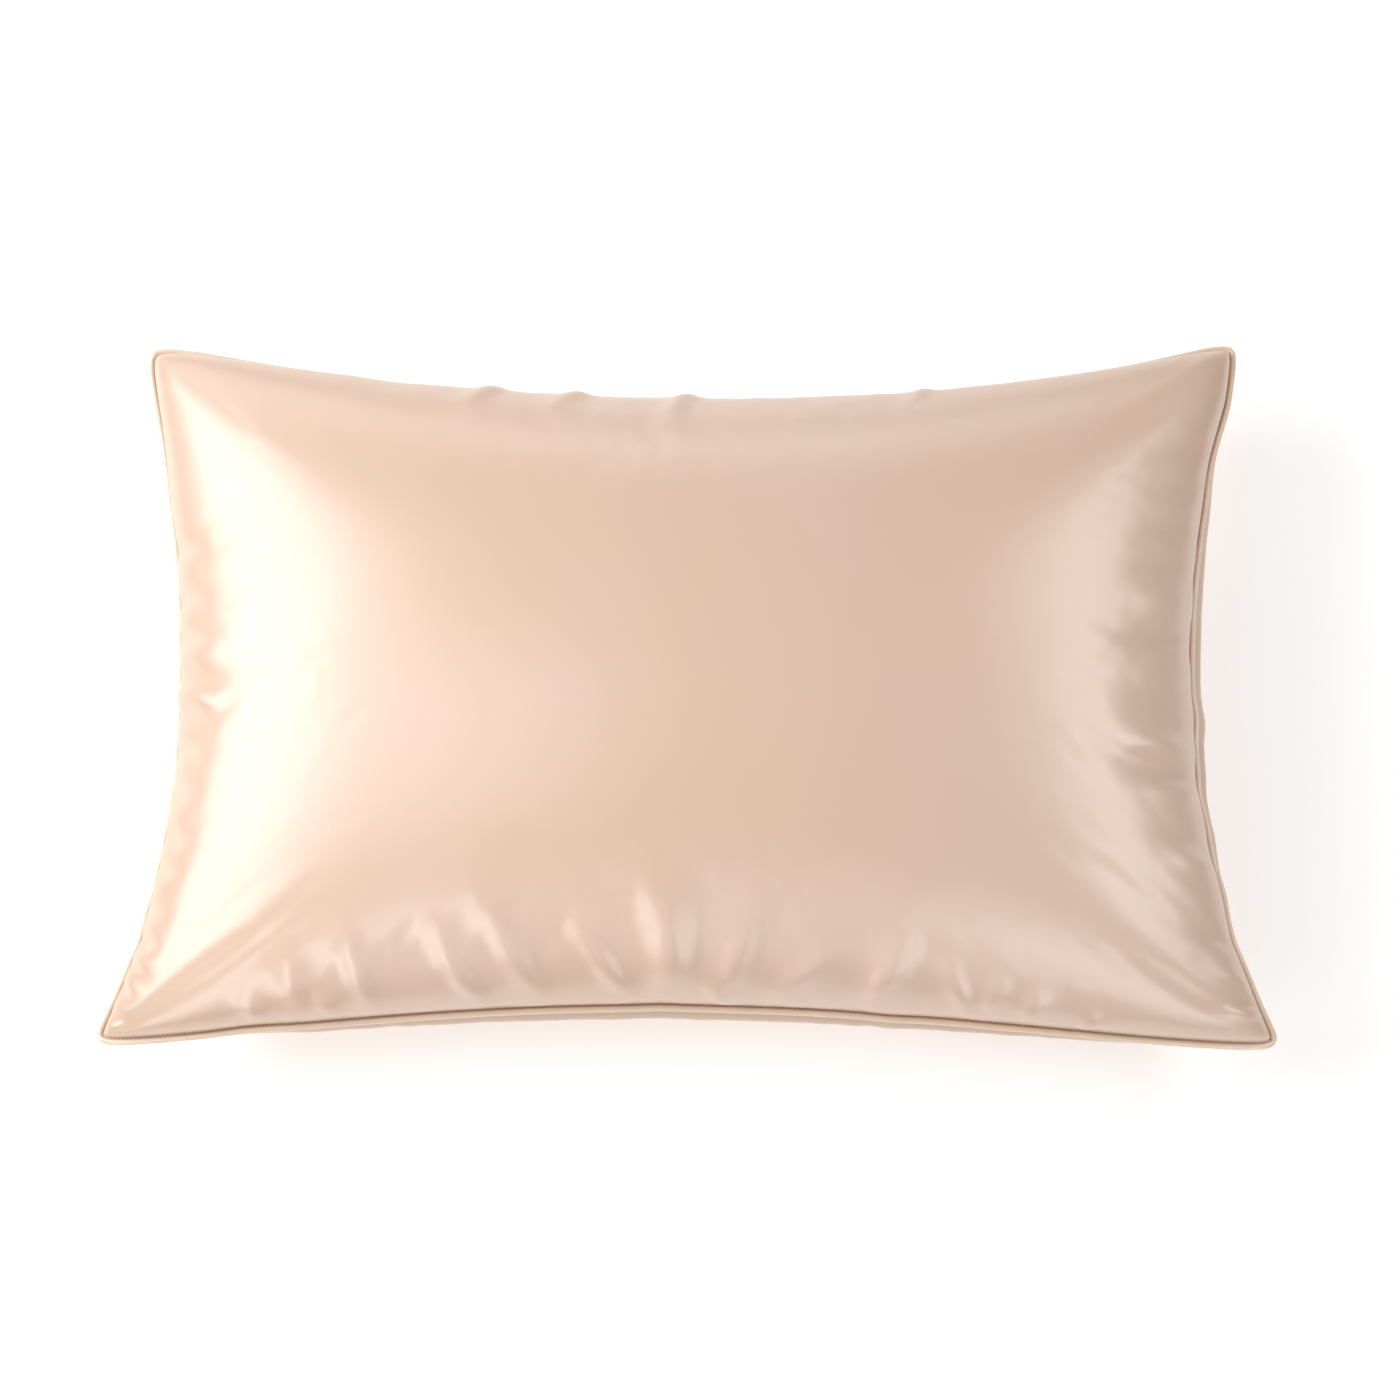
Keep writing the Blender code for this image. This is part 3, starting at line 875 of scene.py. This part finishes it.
def thread_material(piping):
    """The seam's sewing thread, with the unevenness of its twist."""
    graph = Finish("sewing_thread")
    place = graph.node("ShaderNodeTexCoord", output="Object")
    twist = graph.noise(place, scale=1800.0, detail=1.0)
    darker = toned(piping.thread_colour, 0.8)
    graph.principled(
        Base_Color=graph.blend(twist, darker, toned(piping.thread_colour)),
        Roughness=0.45,
        Normal=graph.relief(twist, strength=0.3, depth=0.0001),
    )
    return graph.material


def floor_material(stage):
    """The floor's plain pale finish, with a little light of its own for an even white ground."""
    graph = Finish("pale_floor")
    graph.principled(
        Base_Color=toned(stage.floor_colour),
        Roughness=0.85,
        Specular_IOR_Level=0.1,
        Emission_Color=toned(stage.floor_colour),
        Emission_Strength=0.30,
    )
    return graph.material


# -------- meshes


def added(name, data):
    """A new object of the scene, which shows the data."""
    obj = bpy.data.objects.new(name, data)
    bpy.context.scene.collection.objects.link(obj)
    return obj


def finished_piece(name, mesh, node):
    """A piece, told what it rides on, with the solid that it stands for hidden."""
    obj = added(name, mesh)
    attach(obj, "root")
    if node:
        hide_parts(node)
    return obj


# Corners of a block of two by two cells and the middles of its sides, in the order of a face.
BLOCK_RING = ((0, 0), (0, 1), (0, 2), (1, 2), (2, 2), (2, 1), (2, 0), (1, 0))


def rear_faces(index):
    """Faces of the rear panel: single cells along its seam, and blocks of two by two inside."""
    low, high_x, high_y = REAR_RIM, CELLS_X - REAR_RIM, CELLS_Y - REAR_RIM
    single = np.ones((CELLS_X, CELLS_Y), bool)
    single[low:high_x, low:high_y] = False
    faces = [face for face, kept in zip(cells(index, -1), single.ravel()) if kept]
    for i in range(low, high_x, 2):
        for j in range(low, high_y, 2):
            # The middle of a side is used only where the side meets single cells.
            used = (True, i == low, True, j == high_y - 2, True, i == high_x - 2, True, j == low)
            faces.append([index[i + a, j + b] for (a, b), kept in zip(BLOCK_RING, used) if kept])
    return faces


def panel_points(case, across, up, cloth_u, cloth_v):
    """Points of the front and the rear panel's fine grid, with what the cloth settled by."""
    fade = smooth(off_seam(case, across, up) / PUCKER_FADE)
    calm = 1.0 - CORNER_CALM * np.exp(-((off_corner(case, across, up) / CORNER_REACH) ** 2))
    front_settled, rear_settled = (
        settled_by(puckers, cloth_u[:, 0], cloth_v[0], share)
        for puckers, share in zip(pucker(case), (fade * calm, fade))
    )
    front = front_points(case, across, up, front_settled)
    return front, rear_points(case, across, up, rear_settled)


def set_on_points(mesh, name, values):
    """Stores a number for each point of the mesh."""
    attribute = mesh.attributes.new(name, "FLOAT", "POINT")
    attribute.data.foreach_set("value", values.astype(np.float32))


def panels_mesh(case, piping):
    """The panels' mesh, closed along the seam, with cloth coordinates in metres.

    Its points know how far they are from the seam, and whether they are on the rear panel.
    """
    across, up, cloth_u, cloth_v = panel_grid(case, CELLS_X, CELLS_Y, CELL_GATHER)
    front, rear = panel_points(case, across, up, cloth_u, cloth_v)
    points, front_index, rear_index = sewn(front, rear)
    points = points - seam_middle(case, piping)
    faces = cells(front_index, 1) + rear_faces(rear_index)

    used = np.zeros(len(points), bool)
    used[[corner for face in faces for corner in face]] = True
    renumber = np.cumsum(used) - 1
    faces = [[int(renumber[corner]) for corner in face] for face in faces]
    depth = off_seam(case, across, up)
    cloth = np.stack([cloth_u, cloth_v], axis=-1)

    mesh = bpy.data.meshes.new("filled_case")
    mesh.from_pydata(points[used].tolist(), [], faces)
    set_on_points(mesh, "seam", sewn(depth, depth)[0][used])
    set_on_points(mesh, "rear", sewn(np.zeros_like(depth), np.ones_like(depth))[0][used])
    corners = np.zeros(len(mesh.loops), np.int32)
    mesh.loops.foreach_get("vertex_index", corners)
    layer = mesh.uv_layers.new(name="cloth")
    layer.data.foreach_set("uv", sewn(cloth, cloth)[0][used][corners].astype(np.float32).reshape(-1))
    mesh.shade_smooth()
    return mesh


STITCH_SEED = 5
STITCH_LENGTHS = (0.92, 1.06)  # least and most of a stitch's length, as shares of it


def piping_mesh(piping, line):
    """The piping's mesh: a ring swept round the line, with its wrap coordinates in metres."""
    making = Making("piped_edge")
    diameter = making.size("Diameter", piping.diameter)
    sides = making.size("Sides", piping.sides, "Int")
    unevenness = making.size("Unevenness", piping.unevenness)
    upright = making.node("GeometryNodeSetCurveNormal", {"mode": "Z_UP"}, {"Curve": making.line})
    travelled = making.node("GeometryNodeSplineParameter", output="Length")
    path, along = making.kept(upright, "along", travelled)
    ring = making.node(
        "GeometryNodeCurveArc",
        {"mode": "RADIUS"},
        {"Resolution": sides + 1, "Radius": diameter / 2, "Sweep Angle": 2 * math.pi},
    )
    turned = making.node("GeometryNodeSplineParameter", output="Factor")
    profile, around = making.kept(ring, "around", turned)
    tube = making.node("GeometryNodeCurveToMesh", {}, {"Curve": path, "Profile Curve": profile})
    wrap = making.node("ShaderNodeCombineXYZ", {}, {"X": along, "Y": around * diameter * math.pi})
    named = making.node(
        "GeometryNodeStoreNamedAttribute",
        {"data_type": "FLOAT2", "domain": "CORNER"},
        {"Geometry": tube, "Name": "wrap", "Value": wrap},
    )
    closed = making.node("GeometryNodeMergeByDistance", {}, {"Geometry": named, "Distance": 0.00001})
    uneven = making.node("ShaderNodeTexNoise", {}, {"Scale": 160.0, "Detail": 1.0})
    outward = making.node("GeometryNodeInputNormal")
    rise = (uneven - 0.5) * unevenness
    push = making.node("ShaderNodeVectorMath", {"operation": "SCALE"}, {"Vector": outward, "Scale": rise})
    wrapped = making.node("GeometryNodeSetPosition", {}, {"Geometry": closed, "Offset": push})
    return making.made(wrapped, piping_material(piping), [line])


def stitches_mesh(piping, lines):
    """The seam's stitches: a short bead of thread for each pitch along the lines."""
    making = Making("seam_stitches")
    pitch = making.size("Pitch", piping.stitch_pitch)
    length = making.size("Length", piping.stitch_length)
    thread = making.size("Thread", piping.thread)
    seed = making.size("Seed", STITCH_SEED, "Int")
    spots = making.node(
        "GeometryNodeCurveToPoints", {"mode": "LENGTH"}, {"Curve": making.line, "Length": pitch}
    )
    ball = making.node("GeometryNodeMeshUVSphere", {}, {"Segments": 6, "Rings": 5, "Radius": 0.5})
    least, most = STITCH_LENGTHS
    limits = {2: least, 3: most, "Seed": seed}
    uneven = making.node("FunctionNodeRandomValue", {"data_type": "FLOAT"}, limits, output=1)
    size = making.node("ShaderNodeCombineXYZ", {}, {"X": thread, "Y": thread, "Z": length * uneven})
    placing = {"Points": spots, "Instance": ball, "Rotation": spots.other("Rotation"), "Scale": size}
    stitches = making.node("GeometryNodeInstanceOnPoints", {}, placing)
    return making.made(stitches, thread_material(piping), lines)


# -------- studio

# The lights. tilt: degrees off the vertical. turn: degrees round the case from +X. width: of its
# face along the tilt. length: of its face round the case.
Light = namedtuple("Light", "name tilt turn width length watts")
LIGHTS = (
    Light("left_softbox", 55.0, 165.0, 0.90, 1.50, 21.8),
    Light("right_softbox", 47.0, 14.0, 0.50, 1.60, 8.2),
    Light("overhead", 25.0, 170.0, 0.80, 0.80, 2.8),
    Light("front_fill", 45.0, 270.0, 1.30, 0.60, 1.8),
    Light("front_left_fill", 58.0, 234.0, 1.40, 0.40, 5.5),
    Light("front_right_fill", 60.0, 304.0, 1.40, 0.40, 4.8),
    Light("back_fill", 72.0, 104.0, 0.50, 2.20, 4.0),
)
LIT_MIDDLE = Vector((0.0, 0.0, 0.08))  # where they all face
LIGHT_DISTANCE = 1.7  # metres from there
WORLD_STRENGTH = 0.18
CAMERA_AIM = Vector((0.0053, -0.0121, 0.0743))  # in the middle of the picture
SENSOR_WIDTH = 36.0  # millimetres
FLOOR_REACH = 6.0  # metres from the case to each edge of the floor


def add_floor(stage):
    """The plain floor that the case lies on."""
    out = FLOOR_REACH
    mesh = bpy.data.meshes.new("floor")
    mesh.from_pydata([(-out, -out, 0), (out, -out, 0), (out, out, 0), (-out, out, 0)], [], [(0, 1, 2, 3)])
    mesh.materials.append(floor_material(stage))
    floor = added("floor", mesh)


def add_light(light):
    """A softbox that faces the middle of the case."""
    data = bpy.data.lights.new(light.name, "AREA")
    data.shape = "RECTANGLE"
    data.size, data.size_y = light.width, light.length
    data.energy = light.watts
    obj = added(light.name, data)
    tilt, turn = math.radians(light.tilt), math.radians(light.turn)
    back = Vector((math.sin(tilt) * math.cos(turn), math.sin(tilt) * math.sin(turn), math.cos(tilt)))
    up = Vector((-math.sin(turn), math.cos(turn), 0))
    right = up.cross(back)
    place = LIT_MIDDLE + back * LIGHT_DISTANCE
    obj.matrix_world = Matrix.Translation(place) @ Matrix((right, up, back)).transposed().to_4x4()


def add_world(scene):
    """Even pale light from all round."""
    world = bpy.data.worlds.new("studio")
    world.use_nodes = True
    background = world.node_tree.nodes["Background"]
    background.inputs["Color"].default_value = (1.0, 1.0, 1.0, 1.0)
    background.inputs["Strength"].default_value = WORLD_STRENGTH
    scene.world = world


def add_camera(scene, stage):
    """The camera, which sees the case's face at the photo's angle."""
    data = bpy.data.cameras.new("camera")
    data.lens = stage.lens
    data.sensor_width = SENSOR_WIDTH
    camera = added("camera", data)
    level = math.cos(stage.elevation)
    back = Vector(
        (math.sin(stage.azimuth) * level, -math.cos(stage.azimuth) * level, math.sin(stage.elevation))
    )
    right = Vector((0, 1, 0)).cross(back).normalized()
    up = back.cross(right)
    facing = Matrix((right, up, back)).transposed() @ Matrix.Rotation(stage.roll, 3, "Z")
    camera.matrix_world = Matrix.Translation(CAMERA_AIM + back * stage.distance) @ facing.to_4x4()
    scene.camera = camera


# -------- operators


class PILLOWCASE_OT_case(bpy.types.Operator):
    """Adds the filled case: its front and rear satin panels with their folds"""

    bl_idname = "pillowcase.case"
    bl_label = "Filled case"

    def execute(self, context):
        case, piping = context.scene.pillowcase_case, context.scene.pillowcase_piping
        mesh = panels_mesh(case, piping)
        mesh.materials.append(satin_material(case))
        piece = finished_piece("filled_case", mesh, "case")
        return {"FINISHED"}


class PILLOWCASE_OT_piping(bpy.types.Operator):
    """Adds the piping: a cord in a bias-cut satin strip, all the way round the seam"""

    bl_idname = "pillowcase.piping"
    bl_label = "Piping"

    def execute(self, context):
        case, piping = context.scene.pillowcase_case, context.scene.pillowcase_piping
        line = even_line(piping_line(case, piping) - seam_middle(case, piping), piping.step)
        finished_piece("piped_edge", piping_mesh(piping, line), "piping")
        return {"FINISHED"}


class PILLOWCASE_OT_stitches(bpy.types.Operator):
    """Adds the stitches that close the seam, in the groove on either face of the piping"""

    bl_idname = "pillowcase.stitches"
    bl_label = "Seam stitches"

    def execute(self, context):
        case, piping = context.scene.pillowcase_case, context.scene.pillowcase_piping
        middle = seam_middle(case, piping)
        lines = [even_line(line - middle, piping.step) for line in stitch_lines(case, piping)]
        finished_piece("seam_stitches", stitches_mesh(piping, lines), None)
        return {"FINISHED"}


class PILLOWCASE_OT_stage(bpy.types.Operator):
    """Adds the floor, the studio lights and the camera"""

    bl_idname = "pillowcase.stage"
    bl_label = "Studio"

    def execute(self, context):
        stage = context.scene.pillowcase_stage
        add_floor(stage)
        for light in LIGHTS:
            add_light(light)
        add_world(context.scene)
        add_camera(context.scene, stage)
        context.scene.view_settings.view_transform = "Standard"
        return {"FINISHED"}


class PILLOWCASE_PT_panel(bpy.types.Panel):
    """Lists the pillowcase's pieces and sizes"""

    bl_label = "Pillowcase"
    bl_idname = "PILLOWCASE_PT_panel"
    bl_space_type = "VIEW_3D"
    bl_region_type = "UI"
    bl_category = "Pillowcase"

    def draw(self, context):
        for group in ("pillowcase_case", "pillowcase_piping", "pillowcase_stage"):
            settings = getattr(context.scene, group)
            box = self.layout.box()
            for name in settings.__annotations__:
                box.prop(settings, name)
        for operator in OPERATORS:
            self.layout.operator(operator.bl_idname)


OPERATORS = (PILLOWCASE_OT_case, PILLOWCASE_OT_piping, PILLOWCASE_OT_stitches, PILLOWCASE_OT_stage)
CLASSES = (CaseSettings, PipingSettings, StageSettings, *OPERATORS, PILLOWCASE_PT_panel)


def register():
    for item in CLASSES:
        bpy.utils.register_class(item)
    bpy.types.Scene.pillowcase_case = PointerProperty(type=CaseSettings)
    bpy.types.Scene.pillowcase_piping = PointerProperty(type=PipingSettings)
    bpy.types.Scene.pillowcase_stage = PointerProperty(type=StageSettings)


def unregister():
    del bpy.types.Scene.pillowcase_stage
    del bpy.types.Scene.pillowcase_piping
    del bpy.types.Scene.pillowcase_case
    for item in reversed(CLASSES):
        bpy.utils.unregister_class(item)


def main():
    register()
    bpy.ops.pillowcase.case()
    bpy.ops.pillowcase.piping()
    bpy.ops.pillowcase.stitches()
    bpy.ops.pillowcase.stage()


if __name__ == "__main__":
    main()
